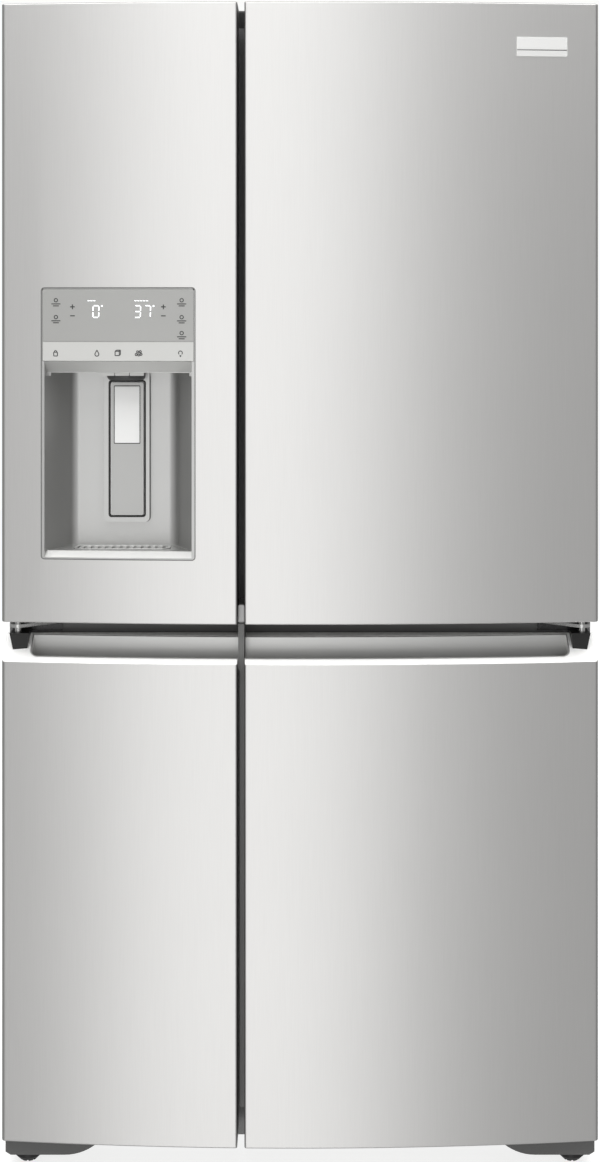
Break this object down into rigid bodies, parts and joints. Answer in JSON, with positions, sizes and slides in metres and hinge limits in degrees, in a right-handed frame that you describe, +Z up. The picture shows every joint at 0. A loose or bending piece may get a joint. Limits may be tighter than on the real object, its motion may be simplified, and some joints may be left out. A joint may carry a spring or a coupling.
{
  "type": "four door refrigerator",
  "caption": "Free-standing refrigerator with side by side freezer and fresh food columns, bowed steel doors, pocket handles, and an ice and water dispenser.",
  "frame": {"origin": "bottom centre of the whole appliance's box, at the level it stands on", "axes": "+Z up, the doors face -Y, +X to the right as seen from the front"},
  "size_m": [0.91, 0.73, 1.78],
  "materials": {
    "stainless_front": "brushed",
    "cabinet_paint": "satin",
    "galvanised": "satin",
    "hinge_steel": "satin",
    "compressor_black": "satin",
    "coil_metal": "satin",
    "liner_white": "gloss",
    "foam": "matte",
    "mullion_grey": "satin",
    "trim_black": "matte",
    "door_liner_white": "gloss",
    "gasket_grey": "matte",
    "handle_grey": "satin",
    "dispenser_grey": "satin",
    "panel_grey": "gloss",
    "paddle_grey": "satin",
    "chute_dark": "matte",
    "badge_metal": "polished",
    "bin_clear": "gloss",
    "drawer_clear": "gloss",
    "shelf_glass": "gloss",
    "foot_black": "matte",
    "roller_grey": "satin",
    "part_white": "satin",
    "part_black": "satin",
    "filter_blue": "gloss"
  },
  "bodies": {
    "cabinet": {"outer_shell": "cabinet_paint", "rear_panel": "galvanised", "machine_cover": "galvanised", "freezer_liner": "liner_white", "fridge_liner": "liner_white", "insulation_foam": "foam", "mullions": "mullion_grey", "base_frame": "galvanised", "top_trim": "trim_black", "top_hinges": "hinge_steel", "middle_hinges": "hinge_steel", "bottom_hinges": "hinge_steel", "toe_covers": "mullion_grey", "shelves": "shelf_glass", "evaporator_cover": "liner_white", "evaporator_coil": "coil_metal", "ice_maker": "part_white", "compressor": "compressor_black", "condenser_coil": "coil_metal", "condenser_fan_motor": "part_black", "drain_pan": "part_black", "water_valve": "part_white", "control_box": "part_black"},
    "upper_left_door": {"upper_left_door_skin": "stainless_front", "upper_left_door_body": "door_liner_white", "upper_left_door_gasket": "gasket_grey", "dispenser_housing": "dispenser_grey", "control_panel": "panel_grey", "ice_chute": "chute_dark", "ice_bucket": "bin_clear", "upper_left_door_bin": "bin_clear"},
    "upper_right_door": {"upper_right_door_skin": "stainless_front", "upper_right_door_body": "door_liner_white", "upper_right_door_gasket": "gasket_grey", "badge": "badge_metal", "upper_right_door_bins": "bin_clear"},
    "lower_left_door": {"lower_left_door_skin": "stainless_front", "lower_left_door_body": "door_liner_white", "lower_left_door_gasket": "gasket_grey", "lower_left_handle": "handle_grey", "lower_left_hinge_bush": "trim_black"},
    "lower_right_door": {"lower_right_door_skin": "stainless_front", "lower_right_door_body": "door_liner_white", "lower_right_door_gasket": "gasket_grey", "lower_right_handle": "handle_grey", "lower_right_hinge_bush": "trim_black"},
    "paddle": {"dispenser_paddle": "paddle_grey"},
    "tray": {"drip_tray": "dispenser_grey"},
    "auger": {"ice_auger": "part_white"},
    "left_foot": {"foot_left": "foot_black"},
    "right_foot": {"foot_right": "foot_black"},
    "left_roller": {"rear_roller_left": "roller_grey"},
    "right_roller": {"rear_roller_right": "roller_grey"},
    "condenser_fan": {"condenser_fan_blade": "part_black"},
    "evaporator_fan": {"evaporator_fan_blade": "part_white"},
    "filter": {"water_filter": "filter_blue"},
    "freezer_drawer_low": {"freezer_drawer_lower": "drawer_clear"},
    "freezer_drawer_high": {"freezer_drawer_upper": "drawer_clear"},
    "crisper_low": {"crisper_lower": "drawer_clear"},
    "crisper_high": {"crisper_upper": "drawer_clear"}
  },
  "joints": [
    {"name": "upper_left_door_hinge", "type": "hinge", "parent": "cabinet", "child": "upper_left_door", "pos_m": [-0.435, -0.3, 1.3], "axis": [0, 0, -1], "range_deg": [0, 120]},
    {"name": "upper_right_door_hinge", "type": "hinge", "parent": "cabinet", "child": "upper_right_door", "pos_m": [0.435, -0.3, 1.3], "axis": [0, 0, 1], "range_deg": [0, 120]},
    {"name": "lower_left_door_hinge", "type": "hinge", "parent": "cabinet", "child": "lower_left_door", "pos_m": [-0.435, -0.3, 0.43], "axis": [0, 0, -1], "range_deg": [0, 120]},
    {"name": "lower_right_door_hinge", "type": "hinge", "parent": "cabinet", "child": "lower_right_door", "pos_m": [0.435, -0.3, 0.43], "axis": [0, 0, 1], "range_deg": [0, 120]},
    {"name": "paddle_hinge", "type": "hinge", "parent": "upper_left_door", "child": "paddle", "pos_m": [-0.2685, -0.2755, 1.194], "axis": [1, 0, 0], "range_deg": [0, 3], "stiffness_Nm_per_rad": 8},
    {"name": "tray_lift", "type": "slide", "parent": "upper_left_door", "child": "tray", "axis": [0, 0, 1], "range_m": [0, 0.02]},
    {"name": "auger_turn", "type": "hinge", "parent": "upper_left_door", "child": "auger", "pos_m": [-0.265, -0.228, 1.442], "axis": [1, 0, 0], "continuous": true},
    {"name": "left_foot_screw", "type": "slide", "parent": "cabinet", "child": "left_foot", "axis": [0, 0, -1], "range_m": [0, 0.01]},
    {"name": "right_foot_screw", "type": "slide", "parent": "cabinet", "child": "right_foot", "axis": [0, 0, -1], "range_m": [0, 0.01]},
    {"name": "left_roller_turn", "type": "hinge", "parent": "cabinet", "child": "left_roller", "pos_m": [-0.4, 0.3, 0.02], "axis": [1, 0, 0], "continuous": true},
    {"name": "right_roller_turn", "type": "hinge", "parent": "cabinet", "child": "right_roller", "pos_m": [0.4, 0.3, 0.02], "axis": [1, 0, 0], "continuous": true},
    {"name": "condenser_fan_turn", "type": "hinge", "parent": "cabinet", "child": "condenser_fan", "pos_m": [0.105, 0.24, 0.14], "axis": [1, 0, 0], "continuous": true},
    {"name": "evaporator_fan_turn", "type": "hinge", "parent": "cabinet", "child": "evaporator_fan", "pos_m": [-0.2645, 0.264, 1.19], "axis": [0, 1, 0], "continuous": true},
    {"name": "filter_turn", "type": "hinge", "parent": "cabinet", "child": "filter", "pos_m": [0.36, -0.04, 1.695], "axis": [0, 1, 0], "range_deg": [0, 90]},
    {"name": "freezer_drawer_low_slide", "type": "slide", "parent": "cabinet", "child": "freezer_drawer_low", "axis": [0, -1, 0], "range_m": [0, 0.186]},
    {"name": "freezer_drawer_high_slide", "type": "slide", "parent": "cabinet", "child": "freezer_drawer_high", "axis": [0, -1, 0], "range_m": [0, 0.186]},
    {"name": "crisper_low_slide", "type": "slide", "parent": "cabinet", "child": "crisper_low", "axis": [0, -1, 0], "range_m": [0, 0.186]},
    {"name": "crisper_high_slide", "type": "slide", "parent": "cabinet", "child": "crisper_high", "axis": [0, -1, 0], "range_m": [0, 0.186]}
  ],
  "couplings": [
    {"joint": "freezer_drawer_low_slide", "follows": "lower_left_door_hinge", "m_per_rad": 0.088},
    {"joint": "freezer_drawer_high_slide", "follows": "lower_left_door_hinge", "m_per_rad": 0.088},
    {"joint": "crisper_low_slide", "follows": "lower_right_door_hinge", "m_per_rad": 0.088},
    {"joint": "crisper_high_slide", "follows": "lower_right_door_hinge", "m_per_rad": 0.088}
  ]
}
